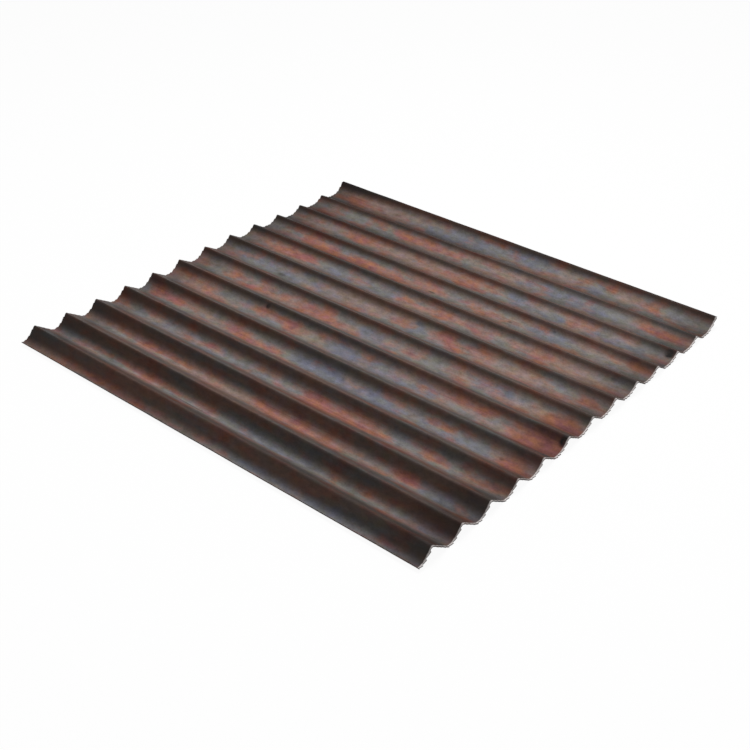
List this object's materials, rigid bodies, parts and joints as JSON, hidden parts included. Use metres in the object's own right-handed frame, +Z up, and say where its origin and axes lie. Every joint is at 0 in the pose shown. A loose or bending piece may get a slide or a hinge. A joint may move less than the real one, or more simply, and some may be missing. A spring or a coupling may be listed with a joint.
{
  "type": "corrugated metal sheet",
  "caption": "Weathered corrugated steel sheet with leaning, sharp-crested waves along its length, rust-streaked all over, with ragged shear-cut ends.",
  "frame": {"origin": "on the floor under the middle of the sheet", "axes": "+X along the corrugations, +Y across them to the edge that ends on a crest, +Z up"},
  "size_m": [1.016, 0.9528, 0.031],
  "materials": {
    "rusted_steel": "dull weathered zinc, streaked with rust"
  },
  "bodies": {
    "root": {"sheet": "rusted_steel"}
  },
  "joints": []
}
